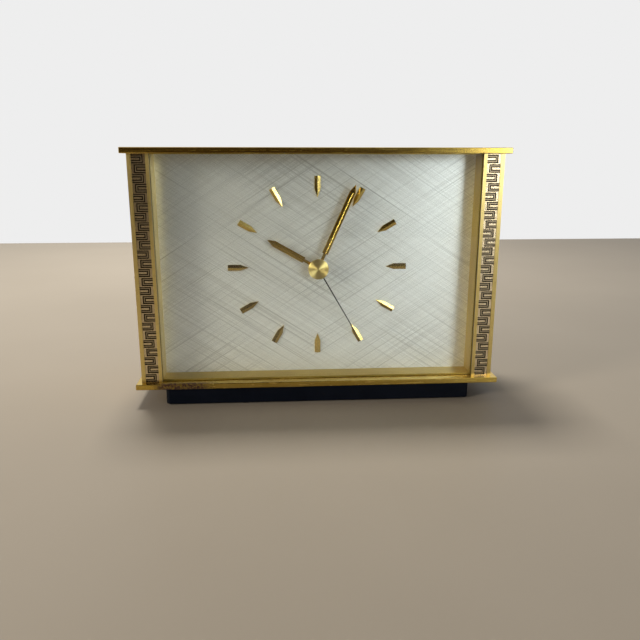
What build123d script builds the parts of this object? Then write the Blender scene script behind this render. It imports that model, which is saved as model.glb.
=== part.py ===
from build123d import *
import math
import os

# Table clock: two brass plates held apart by columns and posts, on a dark plinth.
# A glazed dial stands in front, and a battery movement with a driven balance lies behind it.
# Origin: on the table, under the middle of the plates. +X right, +Y back, +Z up, the dial faces -Y.
# All lengths are in millimetres and all angles in degrees.

# Plates, plinth and felt
plate_width = 180.0
plate_depth = 60.0
plate_thickness = 2.7
plate_edge_chamfer = 0.25
opening_height = 109.6
plinth_width = 152.0
plinth_depth = 57.0
plinth_height = 8.2
plinth_corner_radius = 2.0
plinth_edge_radius = 0.6
felt_thickness = 0.5
felt_inset = 3.0

# Columns, posts, side panels and rear cover
plate_front_overhang = 3.2
plate_side_overhang = 2.5
column_width = 10.0
outer_rail_width = 1.9
inner_rail_width = 1.6
channel_depth = 1.6
post_width = 10.0
post_depth = 10.0
panel_thickness = 1.0
panel_lap = 4.0
cover_thickness = 2.0
cover_clearance = 0.15
cover_gap = 1.0

# Meander strips
strip_thickness = 0.8
strip_clearance = 0.05
relief_height = 0.6
meander_bays = 25
wave_stroke = 0.45
side_stroke = 1.1
tongue_stroke = 1.0
thread_stroke = 0.4
thread_height = 0.35

# Glass and lining
glass_thickness = 2.0
glass_lip = 1.2
glass_clearance = 0.1
glass_groove_depth = 0.8
lining_thickness = 0.8
ceiling_lining_thickness = 0.3

# Dial and hour markers
dial_thickness = 0.8
dial_edge_gap = 1.5
dial_clearance = 0.2
marker_count = 12
marker_outer_radius = 44.5
marker_length = 10.2
marker_width = 2.9
marker_point_length = 4.0
marker_edge_height = 0.7
marker_ridge_height = 1.2
marker_peg_radius = 0.5

# Hands
cap_clearance = 1.8
hand_standoff = 3.6
hand_gap = 0.9
hand_thickness = 0.9
hand_bevel = 0.35
hand_groove_width = 0.6
hand_groove_depth = 0.25
hand_neck_width = 1.5
hand_neck_thickness = 0.6
hand_point_length = 3.8
hand_blade_start = 8.0
hour_hand_length = 28.6
hour_hand_width = 3.0
hour_hub_wall = 1.2
hour_hand_angle = 299.6
minute_hand_length = 44.4
minute_hand_width = 3.0
minute_hub_wall = 1.3
minute_hand_angle = 24.2
seconds_hand_length = 42.5
seconds_hand_width = 0.7
seconds_tip_width = 0.4
seconds_hand_thickness = 0.3
seconds_hub_wall = 1.4
seconds_hand_angle = 150.0
cap_radius = 5.0
cap_edge_height = 0.6
cap_cone_height = 0.6
cap_crown_radius = 0.4

# Fits
running_clearance = 0.06
press_clearance = 0.02
overrun = 1.0

# Screws
tie_radius = 1.5
tie_head_radius = 2.6
tie_head_height = 1.5
tie_top_engagement = 1.5
tie_column_setback = 6.5
case_screw_radius = 1.25
case_screw_length = 4.8
case_head_radius = 2.2
case_head_height = 1.4
cover_screw_inset = 12.0
dial_screw_inset = 20.0
plinth_screw_engagement = 1.8
plinth_head_depth = 4.0
plinth_screw_inset = 14.0
movement_screw_radius = 0.9
movement_screw_length = 4.0
movement_head_radius = 1.7
movement_head_height = 1.0
thread_depth = 3.0
slot_width = 0.5
slot_depth_share = 0.5

# Movement frame
movement_height = 52.0
movement_edge = 2.5
movement_corner_radius = 3.0
movement_plate_thickness = 1.5
pillar_radius = 2.5
pillar_inset = 3.0
pillar_spigot_radius = 1.2
foot_gap = 1.0
foot_pitch = 5.0
end_gap = 0.6
level_gap = 1.1

# Wheels and arbors
train_module = 0.36
seconds_wheel_teeth = 60
seconds_pinion_leaves = 8
third_wheel_teeth = 60
third_pinion_leaves = 8
centre_wheel_teeth = 64
escape_pinion_leaves = 10
escape_wheel_teeth = 15
escape_wheel_radius = 3.6
escape_wheel_thickness = 0.7
cannon_pinion_leaves = 12
minute_wheel_teeth = 36
minute_pinion_leaves = 10
hour_wheel_teeth = 40
wheel_thickness = 0.9
pinion_overhang = 0.4
seconds_arbor_radius = 0.6
train_arbor_radius = 0.6
set_arbor_radius = 0.9
set_arbor_gap = 0.9
tube_wall = 0.85
pipe_wall = 0.8
collar_width = 0.8
collar_thickness = 0.5
clutch_radius = 4.2
clutch_height = 0.7
clutch_thickness = 0.2
third_direction = 135.0
escape_direction = 225.0
set_direction = -45.0

# Tooth outlines: (height in modules from the pitch circle, angle in tooth pitches), round one tooth
wheel_tooth_shares = ((-1.25, -0.24), (0, -0.19), (1, -0.08), (1, 0.08), (0, 0.19), (-1.25, 0.24))
pinion_leaf_shares = ((-1.3, -0.18), (0, -0.14), (0.75, -0.06), (0.75, 0.06), (0, 0.14), (-1.3, 0.18))
escape_tooth_shares = ((-1.4, -0.34), (0, -0.04), (0, 0.04), (-1.4, 0.14))
knob_flute_shares = ((-0.5, -0.4), (0, -0.25), (0, 0.25), (-0.5, 0.4))

# Balance, hairspring, cock and regulator
balance_radius = 9.0
balance_disc_thickness = 0.8
balance_staff_radius = 0.7
balance_direction = 180.0
impulse_pin_radius = 0.4
impulse_pin_orbit = 2.2
impulse_clearance = 0.3
magnet_radius = 1.6
magnet_length = 1.6
magnet_orbit = 6.2
hairspring_turns = 5
hairspring_pitch = 0.7
hairspring_strip = 0.16
hairspring_height = 0.8
collet_radius = 1.7
cock_width = 6.0
cock_thickness = 1.5
cock_foot_gap = 1.0
boss_radius = 2.2
boss_height = 1.2
regulator_thickness = 0.7
regulator_ring_wall = 1.6
regulator_arm_width = 2.4
regulator_reach = 16.0
regulator_pin_radius = 0.8
regulator_pin_proud = 1.5
regulator_range = 20.0
regulator_slot_clearance = 0.4

# Drive coil and circuit board
coil_clearance = 0.45
bobbin_height = 1.9
bobbin_radius = 2.9
bobbin_flange = 0.3
bobbin_core_radius = 1.1
winding_inset = 0.2
board_thickness = 1.0
board_width = 26.0
board_height = 20.0
board_gap = 2.0
board_hole_inset = 3.0
board_spacer_radius = 2.0
transistor_radius = 2.4
transistor_height = 4.5
transistor_flange = 0.5
capacitor_radius = 2.5
capacitor_length = 9.0
component_share = 0.25

# Battery, holder, contacts and leads
battery_radius = 13.1
battery_length = 50.0
battery_cap_radius = 3.5
battery_cap_height = 1.5
battery_clearance = 3.5
holder_wall = 1.5
holder_clearance = 0.3
holder_foot_thickness = 3.0
holder_screw_spacing = 22.0
contact_width = 8.0
contact_thickness = 0.5
negative_contact_height = 3.4
contact_tab_length = 2.5
lead_radius = 0.6
lead_bend = 5.0
bend_share = 0.45
lead_rise = 16.0
lead_stub = 4.0
lead_spacing = 6.0

# Setting knob
knob_radius = 6.0
knob_flutes = 36
knob_gap = 0.4
knob_length = 5.6
knob_bore_depth = 4.0
cover_hole_clearance = 0.5

# Battery door and its hinge
door_margin = 1.0
door_clearance = 0.3
knuckle_radius = 1.6
knuckle_count = 5
knuckle_gap = 0.3
hinge_leaf_width = 4.0
hinge_pin_radius = 0.8
finger_lip_height = 3.0
finger_lip_thickness = 1.2
finger_lip_length = 12.0

# Heights that follow from the sizes above
plinth_top = felt_thickness + plinth_height
floor_level = plinth_top + plate_thickness
ceiling_level = floor_level + opening_height
dial_centre = floor_level + opening_height / 2

# Depths of the case's front
front_edge = -plate_depth / 2
rear_edge = plate_depth / 2
column_front = front_edge + plate_front_overhang
glass_front = column_front + glass_lip + glass_clearance
glass_back = glass_front + glass_thickness
lining_front = glass_back + glass_clearance

# Depths of the hands, from the glass backwards to the dial
cap_front = glass_back + cap_clearance
cap_edge_front = cap_front + cap_cone_height
seconds_hand_front = cap_edge_front + cap_edge_height
seconds_hand_back = seconds_hand_front + seconds_hand_thickness
minute_hand_front = seconds_hand_back + hand_gap
minute_hand_back = minute_hand_front + hand_thickness
hour_hand_front = minute_hand_back + hand_gap
hour_hand_back = hour_hand_front + hand_thickness
dial_front = hour_hand_back + hand_standoff
dial_back = dial_front + dial_thickness

# Widths of the case, from the middle outwards
column_outer = plate_width / 2 - plate_side_overhang
column_inner = column_outer - column_width
column_middle = (column_inner + column_outer) / 2
rebate_depth = lining_thickness + glass_clearance
panel_inner = column_outer - panel_thickness
post_inner = panel_inner - post_width
post_middle = (post_inner + panel_inner) / 2

# Depths of the movement, from the dial backwards
hour_wheel_front = dial_back + end_gap
hour_wheel_back = hour_wheel_front + wheel_thickness
minute_wheel_front = hour_wheel_back + level_gap
minute_wheel_back = minute_wheel_front + wheel_thickness
movement_front = minute_wheel_back + pinion_overhang + end_gap
front_plate_back = movement_front + movement_plate_thickness
collar_front = front_plate_back + end_gap
centre_wheel_front = collar_front + collar_thickness
centre_wheel_back = centre_wheel_front + wheel_thickness
clutch_back = centre_wheel_back + running_clearance + clutch_height
tube_back = clutch_back + collar_thickness
third_wheel_front = tube_back + end_gap + pinion_overhang
third_wheel_back = third_wheel_front + wheel_thickness
seconds_wheel_front = third_wheel_back + level_gap
seconds_wheel_back = seconds_wheel_front + wheel_thickness
rear_plate_front = seconds_wheel_back + pinion_overhang + movement_head_height + end_gap
rear_plate_back = rear_plate_front + movement_plate_thickness
escape_wheel_front = rear_plate_back + end_gap
escape_wheel_back = escape_wheel_front + escape_wheel_thickness
front_disc_front = escape_wheel_back + level_gap
front_disc_back = front_disc_front + balance_disc_thickness
bobbin_front = front_disc_back + coil_clearance
board_front = bobbin_front + bobbin_height
board_back = board_front + board_thickness
rear_disc_front = board_back + coil_clearance
rear_disc_back = rear_disc_front + balance_disc_thickness
hairspring_front = rear_disc_back + magnet_length + end_gap
hairspring_back = hairspring_front + hairspring_height
cock_front = hairspring_back + end_gap
cock_back = cock_front + cock_thickness
regulator_front = cock_back + running_clearance
regulator_back = regulator_front + regulator_thickness

# Depths of the case's back: the cover clears both the battery and the movement
battery_bay = 2 * (battery_radius + battery_clearance)
cover_front = max(dial_back + battery_bay, cock_back + boss_height + cover_gap)
cover_back = cover_front + cover_thickness
post_front = cover_front - post_depth
post_centre = (post_front + cover_front) / 2
panel_front = dial_front - panel_lap
knob_front = cover_back + knob_gap
knob_back = knob_front + knob_length
set_arbor_back = knob_front + knob_bore_depth

# Radii of the three pipes that carry the hands
tube_bore = seconds_arbor_radius + running_clearance
tube_radius = tube_bore + tube_wall
pipe_bore = tube_radius + running_clearance
pipe_radius = pipe_bore + pipe_wall


def polar(start, distance, direction):
    """The point at a distance and direction from a start, in the dial's plane."""
    angle = math.radians(direction)
    return start[0] + distance * math.cos(angle), start[1] + distance * math.sin(angle)


# Arbor positions in the dial's plane: the pitch circles of each pair touch
hand_axis = (0, dial_centre)
third_distance = train_module * (seconds_pinion_leaves + third_wheel_teeth) / 2
centre_module = 2 * third_distance / (third_pinion_leaves + centre_wheel_teeth)
escape_distance = train_module * (seconds_wheel_teeth + escape_pinion_leaves) / 2
widest_wheel = max(
    centre_module * (centre_wheel_teeth / 2 + 1), train_module * (seconds_wheel_teeth / 2 + 1)
)
set_distance = widest_wheel + set_arbor_gap + set_arbor_radius
cannon_module = 2 * set_distance / (cannon_pinion_leaves + minute_wheel_teeth)
hour_module = 2 * set_distance / (minute_pinion_leaves + hour_wheel_teeth)
balance_distance = escape_wheel_radius + impulse_clearance + impulse_pin_radius + impulse_pin_orbit
third_axis = polar(hand_axis, third_distance, third_direction)
escape_axis = polar(hand_axis, escape_distance, escape_direction)
set_axis = polar(hand_axis, set_distance, set_direction)
balance_axis = polar(escape_axis, balance_distance, balance_direction)
coil_axis = (balance_axis[0], balance_axis[1] + magnet_orbit)

# Repeated places
sides = (-1, 1)
corners = [(x, z) for x in sides for z in sides]
tie_places = [(side * column_middle, column_front + tie_column_setback) for side in sides]
tie_places += [(side * post_middle, post_centre) for side in sides]
plinth_places = [
    (x * (plinth_width / 2 - plinth_screw_inset), y * (plinth_depth / 2 - plinth_screw_inset))
    for x, y in corners
]
dial_screw_places = [
    (x * column_middle, dial_centre + z * (opening_height / 2 - dial_screw_inset)) for x, z in corners
]
cover_screw_places = [
    (x * post_middle, dial_centre + z * (opening_height / 2 - cover_screw_inset)) for x, z in corners
]
cock_clear_radius = max(balance_radius, balance_distance + escape_wheel_radius)
cock_foot_distance = cock_clear_radius + cock_foot_gap + pillar_radius
cock_places = [(balance_axis[0] + side * cock_foot_distance, balance_axis[1]) for side in sides]

# Movement plates: they reach past the cock's foot on the left, and past the dial feet on the right
minute_wheel_reach = set_axis[0] + cannon_module * (minute_wheel_teeth / 2 + 1)
movement_left = cock_places[0][0] - pillar_radius - movement_edge
movement_right = minute_wheel_reach + foot_gap + pillar_radius + pillar_inset
pillar_columns = (movement_left + pillar_inset, movement_right - pillar_inset)
pillar_rise = movement_height / 2 - pillar_inset
pillar_places = [(x, dial_centre + side * pillar_rise) for x in pillar_columns for side in sides]
foot_rise = pillar_rise - foot_pitch
foot_places = [(x, dial_centre + side * foot_rise) for x in pillar_columns for side in sides]
board_left = balance_axis[0] - board_width / 2
board_right = balance_axis[0] + board_width / 2
board_bottom = balance_axis[1] + balance_radius + board_gap
board_top = board_bottom + board_height
board_hole_height = board_top - board_hole_inset
board_places = [
    (board_left + board_hole_inset, board_hole_height),
    (board_right - board_hole_inset, board_hole_height),
]

# Battery: in the middle of the room between the movement and the right-hand post
battery_offset = (movement_right + contact_tab_length + post_inner) / 2
battery_axis = (battery_offset, (dial_back + cover_front) / 2)


def block(x0, x1, y0, y1, z0, z1):
    """A box between two corners."""
    middle = Pos((x0 + x1) / 2, (y0 + y1) / 2, (z0 + z1) / 2)
    return middle * Box(abs(x1 - x0), abs(y1 - y0), abs(z1 - z0))


def upright(place, radius, z0, z1):
    """A round bar along Z, at a place (x, y)."""
    return Pos(place[0], place[1], (z0 + z1) / 2) * Cylinder(radius, z1 - z0)


def rod(axis, radius, y0, y1):
    """A round bar along Y, on an axis (x, z)."""
    return Pos(axis[0], (y0 + y1) / 2, axis[1]) * Rot(90, 0, 0) * Cylinder(radius, y1 - y0)


def slab(outline, axis, y0, y1):
    """An outline drawn as seen from the front, given thickness from y0 back to y1."""
    plane = Plane(origin=(axis[0], y1, axis[1]), x_dir=(1, 0, 0), z_dir=(0, -1, 0))
    return extrude(plane * outline, amount=y1 - y0)


def outline_of(points):
    """A flat face inside a closed run of points."""
    return make_face(Polyline(*points, close=True))


def toothed(teeth, module, tooth_shares, turn=0):
    """A toothed outline with one tooth's middle at the angle turn."""
    pitch = 360 / teeth
    points = []
    for tooth in range(teeth):
        for height_share, width_share in tooth_shares:
            radius = module * (teeth / 2 + height_share)
            points.append(polar((0, 0), radius, turn + (tooth + width_share) * pitch))
    return outline_of(points)


def facing(direction, teeth):
    """The turn that puts a gap, not a tooth, towards a mating wheel that lies in that direction."""
    return direction + 180 / teeth


def screw(radius, length, head_radius, head_height):
    """A slotted cheese-head screw: its seat at z = 0, its shank up +Z, its head below."""
    shank = Pos(0, 0, length / 2) * Cylinder(radius, length)
    head = Pos(0, 0, -head_height / 2) * Cylinder(head_radius, head_height)
    slot_depth = slot_depth_share * head_height
    slot = Box(2 * head_radius + overrun, slot_width, slot_depth)
    return shank + head - Pos(0, 0, slot_depth / 2 - head_height) * slot


downwards = Rot(180, 0, 0)
forwards = Rot(90, 0, 0)
backwards = Rot(-90, 0, 0)


def save(name, *shapes):
    """Write one node: a single piece, or a group of like pieces as separate solids."""
    solids = [solid for shape in shapes for solid in shape.solids()]
    node = solids[0] if len(solids) == 1 else Compound(solids)
    export_step(node, f"parts/{name}.step")


os.makedirs("parts", exist_ok=True)

# Felt pad and plinth
felt = block(
    felt_inset - plinth_width / 2,
    plinth_width / 2 - felt_inset,
    felt_inset - plinth_depth / 2,
    plinth_depth / 2 - felt_inset,
    0,
    felt_thickness,
)
save("felt_pad", felt)

plinth = block(
    -plinth_width / 2, plinth_width / 2, -plinth_depth / 2, plinth_depth / 2, felt_thickness, plinth_top
)
plinth = fillet(plinth.edges().filter_by(Axis.Z), plinth_corner_radius)
plinth = fillet(plinth.faces().sort_by(Axis.Z)[0].edges(), plinth_edge_radius)
plinth_seat = felt_thickness + plinth_head_depth
for place in plinth_places:
    plinth -= upright(place, case_head_radius + dial_clearance, felt_thickness - overrun, plinth_seat)
    plinth -= upright(place, case_screw_radius + press_clearance, plinth_seat - overrun, plinth_top + overrun)
save("plinth", plinth)

plinth_screw_length = plinth_top + plinth_screw_engagement - plinth_seat
plinth_screw = screw(case_screw_radius, plinth_screw_length, case_head_radius, case_head_height)
save("plinth_screws", *[Pos(x, y, plinth_seat) * plinth_screw for x, y in plinth_places])


def case_plate(bottom):
    """A flat brass plate with finely broken edges."""
    plate = block(-plate_width / 2, plate_width / 2, front_edge, rear_edge, bottom, bottom + plate_thickness)
    return chamfer(plate.edges(), plate_edge_chamfer)


def glass_groove(z0, z1):
    """The groove that takes the pane's edge in a plate."""
    reach = column_inner + rebate_depth
    return block(-reach, reach, glass_front - glass_clearance, lining_front, z0, z1)


# Bottom plate: screw seats below, glass groove above
tie_seat = plinth_top + tie_head_height
holder_screw_y = battery_axis[1] + contact_width / 2 + case_head_radius + holder_clearance
holder_places = [(battery_offset + side * holder_screw_spacing / 2, holder_screw_y) for side in sides]
holder_seat = floor_level + holder_foot_thickness
holder_screw_end = holder_seat - case_screw_length
bottom_plate = case_plate(plinth_top)
bottom_plate -= glass_groove(floor_level - glass_groove_depth, floor_level + overrun)
for place in tie_places:
    bottom_plate -= upright(place, tie_head_radius + dial_clearance, plinth_top - overrun, tie_seat)
    bottom_plate -= upright(place, tie_radius + running_clearance, plinth_top, floor_level + overrun)
for place in plinth_places:
    bottom_plate -= upright(
        place, case_screw_radius + press_clearance, plinth_top - overrun, plinth_top + plinth_screw_engagement
    )
for place in holder_places:
    bottom_plate -= upright(
        place, case_screw_radius + press_clearance, holder_screw_end, floor_level + overrun
    )
save("bottom_plate", bottom_plate)

# Top plate: glass groove and blind tapped holes below
top_plate = case_plate(ceiling_level)
top_plate -= glass_groove(ceiling_level - overrun, ceiling_level + glass_groove_depth)
for place in tie_places:
    top_plate -= upright(
        place, tie_radius + press_clearance, ceiling_level - overrun, ceiling_level + tie_top_engagement
    )
save("top_plate", top_plate)

# Tie screws: long screws from below the bottom plate into the top plate
tie_length = ceiling_level + tie_top_engagement - tie_seat
tie_screw = screw(tie_radius, tie_length, tie_head_radius, tie_head_height)
save("case_tie_screws", *[Pos(x, y, tie_seat) * tie_screw for x, y in tie_places])

# Columns: a sunk channel in front, a rebate for glass and lining inside, one for the panel outside
right_column = block(column_inner, column_outer, column_front, dial_front, floor_level, ceiling_level)
channel_left = column_inner + inner_rail_width
channel_right = column_outer - outer_rail_width
column_cuts = [
    block(
        channel_left,
        channel_right,
        column_front - overrun,
        column_front + channel_depth,
        floor_level - overrun,
        ceiling_level + overrun,
    ),
    block(
        column_inner - overrun,
        column_inner + rebate_depth,
        column_front + glass_lip,
        dial_front + overrun,
        floor_level - overrun,
        ceiling_level + overrun,
    ),
    block(
        panel_inner,
        column_outer + overrun,
        panel_front,
        dial_front + overrun,
        floor_level - overrun,
        ceiling_level + overrun,
    ),
    upright(tie_places[1], tie_radius + running_clearance, floor_level - overrun, ceiling_level + overrun),
]
dial_screw_end = dial_back - case_screw_length
for x, z in dial_screw_places:
    column_cuts.append(rod((x, z), case_screw_radius + press_clearance, dial_screw_end, dial_front + overrun))
for cut in column_cuts:
    right_column -= cut
save("right_column", right_column)
save("left_column", mirror(right_column, about=Plane.YZ))

# Meander strips: a Greek-key relief of a wave that runs from edge to edge, broad along the edges,
# with a tongue in each bay and a finer, lower thread between the two. Both strips have the same pattern,
# not a mirrored one.
strip_width = channel_right - channel_left - 2 * strip_clearance
strip_length = opening_height - 2 * strip_clearance
bay_height = (strip_length - wave_stroke) / meander_bays
stroke_gap = (bay_height - wave_stroke - tongue_stroke - 2 * thread_stroke) / 4


def stroke(u0, u1, v0, v1):
    """A rectangle of the relief between two corners, u across the strip and v down it."""
    return Pos((u0 + u1) / 2, -(v0 + v1) / 2) * Rectangle(abs(u1 - u0), abs(v1 - v0))


def bay_lines(bay):
    """Where one bay closes and opens, which way is inward, its top, its middle and the side of its thread."""
    closed = strip_width / 2 if bay % 2 == 0 else -strip_width / 2
    inward = -1 if bay % 2 == 0 else 1
    top = bay * bay_height
    middle = top + (wave_stroke + bay_height) / 2
    thread_side = closed + inward * (side_stroke + stroke_gap)
    return closed, -closed, inward, top, middle, thread_side


def wave_bay(bay):
    """The wave's bar and side in one bay, and the tongue."""
    closed, opened, inward, top, middle, thread_side = bay_lines(bay)
    tongue_end = thread_side + inward * (thread_stroke + stroke_gap)
    return [
        stroke(closed, opened, top, top + wave_stroke),
        stroke(closed, closed + inward * side_stroke, top, top + bay_height + wave_stroke),
        stroke(tongue_end, opened, middle - tongue_stroke / 2, middle + tongue_stroke / 2),
    ]


def thread_bay(bay):
    """The thread's U in one bay, round the tongue."""
    _, opened, inward, _, middle, thread_side = bay_lines(bay)
    thread_rise = tongue_stroke / 2 + stroke_gap
    turn_rise = thread_rise + thread_stroke
    bars = [stroke(thread_side, thread_side + inward * thread_stroke, middle - turn_rise, middle + turn_rise)]
    for side in sides:
        near = middle + side * thread_rise
        bars.append(stroke(thread_side, opened, near, near + side * thread_stroke))
    return bars


wave = Sketch() + [bar for bay in range(meander_bays) for bar in wave_bay(bay)]
wave += stroke(-strip_width / 2, strip_width / 2, strip_length - wave_stroke, strip_length)
thread = Sketch() + [bar for bay in range(meander_bays) for bar in thread_bay(bay)]
ground_front = column_front + channel_depth - strip_thickness
for side, name in zip(sides, ("left_meander", "right_meander")):
    strip_middle = (channel_left + channel_right) / 2
    ground = block(
        side * strip_middle - strip_width / 2,
        side * strip_middle + strip_width / 2,
        ground_front,
        column_front + channel_depth,
        floor_level + strip_clearance,
        ceiling_level - strip_clearance,
    )
    strip_top = (side * strip_middle, ceiling_level - strip_clearance)
    strip = ground + slab(wave, strip_top, ground_front - relief_height, ground_front)
    save(name, strip + slab(thread, strip_top, ground_front - thread_height, ground_front))

# Rear posts: square brass bars behind the movement
right_post = block(post_inner, panel_inner, post_front, cover_front, floor_level, ceiling_level)
right_post -= upright(
    tie_places[3], tie_radius + running_clearance, floor_level - overrun, ceiling_level + overrun
)
cover_screw_end = cover_back - case_screw_length
for x, z in cover_screw_places:
    right_post -= rod((x, z), case_screw_radius + press_clearance, cover_screw_end, cover_front + overrun)
save("rear_posts", right_post, mirror(right_post, about=Plane.YZ))

# Side panels: flat sheets in the columns' rebates and against the posts
right_panel = block(panel_inner, column_outer, panel_front, cover_back, floor_level, ceiling_level)
save("right_side_panel", right_panel)
save("left_side_panel", mirror(right_panel, about=Plane.YZ))

# Glass: a flat pane in the plates' grooves and the columns' rebates
pane_reach = column_inner + lining_thickness
pane_rise = glass_groove_depth - glass_clearance
glass = block(
    -pane_reach, pane_reach, glass_front, glass_back, floor_level - pane_rise, ceiling_level + pane_rise
)
save("glass", glass)

# Lining: four strips between the glass and the dial
right_lining = block(column_inner, pane_reach, lining_front, dial_front, floor_level, ceiling_level)
save("right_lining", right_lining)
save("left_lining", mirror(right_lining, about=Plane.YZ))
lining_span = (-column_inner, column_inner, lining_front, dial_front)
save("floor_lining", block(*lining_span, floor_level, floor_level + lining_thickness))
save("ceiling_lining", block(*lining_span, ceiling_level - ceiling_lining_thickness, ceiling_level))

# Dial plate, screwed to the columns from behind
dial_reach = panel_inner - dial_edge_gap
dial = block(
    -dial_reach,
    dial_reach,
    dial_front,
    dial_back,
    floor_level + dial_clearance,
    ceiling_level - dial_clearance,
)
dial -= rod(hand_axis, pipe_radius + dial_clearance, dial_front - overrun, dial_back + overrun)
marker_middle = marker_outer_radius - marker_length / 2
hour_step = 360 / marker_count
for hour in range(marker_count):
    place = polar(hand_axis, marker_middle, hour * hour_step)
    dial -= rod(place, marker_peg_radius + press_clearance, dial_front - overrun, dial_back + overrun)
for place in dial_screw_places:
    dial -= rod(place, case_screw_radius + press_clearance, dial_front - overrun, dial_back + overrun)
save("dial_plate", dial)

# Hour markers: ridged batons with a pointed inner end and a peg through the dial
marker_inner_radius = marker_outer_radius - marker_length
marker_plan = outline_of(
    [
        (-marker_width / 2, marker_outer_radius),
        (marker_width / 2, marker_outer_radius),
        (marker_width / 2, marker_inner_radius + marker_point_length),
        (0, marker_inner_radius),
        (-marker_width / 2, marker_inner_radius + marker_point_length),
    ]
)
marker_section = outline_of(
    [
        (-marker_width / 2, dial_front),
        (marker_width / 2, dial_front),
        (marker_width / 2, dial_front - marker_edge_height),
        (0, dial_front - marker_ridge_height),
        (-marker_width / 2, dial_front - marker_edge_height),
    ]
)
marker_bar = extrude(Pos(0, 0, marker_inner_radius) * marker_section, amount=marker_length, dir=(0, 0, 1))
marker = marker_bar & slab(marker_plan, (0, 0), dial_front - marker_ridge_height, dial_front)
marker += rod((0, marker_middle), marker_peg_radius, dial_front, dial_back)
markers = [Pos(0, 0, dial_centre) * Rot(0, hour * hour_step, 0) * marker for hour in range(marker_count)]
save("hour_markers", *markers)


def baton_hand(length, width, bore, hub_wall, back, angle):
    """A flat bevelled hand with a line cut down its blade, a narrow neck and a round hub."""
    hub = Circle(bore + hub_wall) + Pos(0, hand_blade_start / 2) * Rectangle(
        hand_neck_width, hand_blade_start + hand_neck_width
    )
    blade_outline = outline_of(
        [
            (-width / 2, hand_blade_start),
            (width / 2, hand_blade_start),
            (width / 2, length - hand_point_length),
            (0, length),
            (-width / 2, length - hand_point_length),
        ]
    )
    blade = slab(blade_outline, (0, 0), back - hand_thickness, back)
    blade = chamfer(blade.faces().sort_by(Axis.Y)[0].edges(), hand_bevel)
    groove = outline_of(
        [
            (-hand_groove_width / 2, back - hand_thickness),
            (hand_groove_width / 2, back - hand_thickness),
            (0, back - hand_thickness + hand_groove_depth),
        ]
    )
    groove_length = length - hand_point_length - hand_blade_start - 2 * hand_bevel
    blade -= extrude(Pos(0, 0, hand_blade_start + hand_bevel) * groove, amount=groove_length, dir=(0, 0, 1))
    hand = blade + slab(hub, (0, 0), back - hand_neck_thickness, back)
    hand -= rod((0, 0), bore, back - hand_thickness - overrun, back + overrun)
    return Pos(0, 0, dial_centre) * Rot(0, angle, 0) * hand


save(
    "hour_hand",
    baton_hand(
        hour_hand_length,
        hour_hand_width,
        pipe_radius + press_clearance,
        hour_hub_wall,
        hour_hand_back,
        hour_hand_angle,
    ),
)
save(
    "minute_hand",
    baton_hand(
        minute_hand_length,
        minute_hand_width,
        tube_radius + press_clearance,
        minute_hub_wall,
        minute_hand_back,
        minute_hand_angle,
    ),
)

# Seconds hand: a needle on a small hub
needle = outline_of(
    [
        (-seconds_hand_width / 2, 0),
        (seconds_hand_width / 2, 0),
        (seconds_tip_width / 2, seconds_hand_length),
        (-seconds_tip_width / 2, seconds_hand_length),
    ]
)
seconds_bore = seconds_arbor_radius + press_clearance
seconds_hand = slab(
    needle + Circle(seconds_bore + seconds_hub_wall), (0, 0), seconds_hand_front, seconds_hand_back
)
seconds_hand -= rod((0, 0), seconds_bore, seconds_hand_front - overrun, seconds_hand_back + overrun)
save("seconds_hand", Pos(0, 0, dial_centre) * Rot(0, seconds_hand_angle, 0) * seconds_hand)

# Seconds cap: a spun disc with a low cone
cap = rod(hand_axis, cap_radius, cap_edge_front, seconds_hand_front)
cap_cone = Cone(cap_radius, cap_crown_radius, cap_cone_height)
cap += Pos(0, cap_edge_front - cap_cone_height / 2, dial_centre) * forwards * cap_cone
cap -= rod(hand_axis, seconds_bore, cap_edge_front, seconds_hand_front + overrun)
save("seconds_cap", cap)

# Seconds wheel on its long arbor, with the pinion that drives the third wheel
seconds_wheel = rod(hand_axis, seconds_arbor_radius, cap_edge_front, rear_plate_back)
seconds_wheel += slab(
    toothed(seconds_wheel_teeth, train_module, wheel_tooth_shares, escape_direction),
    hand_axis,
    seconds_wheel_front,
    seconds_wheel_back,
)
seconds_wheel += slab(
    toothed(
        seconds_pinion_leaves,
        train_module,
        pinion_leaf_shares,
        facing(third_direction, seconds_pinion_leaves),
    ),
    hand_axis,
    third_wheel_front - pinion_overhang,
    third_wheel_back + pinion_overhang,
)
save("seconds_wheel", seconds_wheel)

# Third wheel, with the pinion that drives the centre wheel
third_wheel = rod(third_axis, train_arbor_radius, movement_front, rear_plate_back)
third_wheel += slab(
    toothed(third_wheel_teeth, train_module, wheel_tooth_shares, third_direction + 180),
    third_axis,
    third_wheel_front,
    third_wheel_back,
)
third_wheel += slab(
    toothed(
        third_pinion_leaves,
        centre_module,
        pinion_leaf_shares,
        facing(third_direction + 180, third_pinion_leaves),
    ),
    third_axis,
    centre_wheel_front - pinion_overhang,
    centre_wheel_back + pinion_overhang,
)
save("third_wheel", third_wheel)

# Centre wheel, turning on the minute tube
centre_wheel = slab(
    toothed(centre_wheel_teeth, centre_module, wheel_tooth_shares, third_direction),
    hand_axis,
    centre_wheel_front + running_clearance,
    centre_wheel_back,
)
centre_wheel -= rod(
    hand_axis, tube_radius + running_clearance, centre_wheel_front - overrun, centre_wheel_back + overrun
)
save("centre_wheel", centre_wheel)

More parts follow.
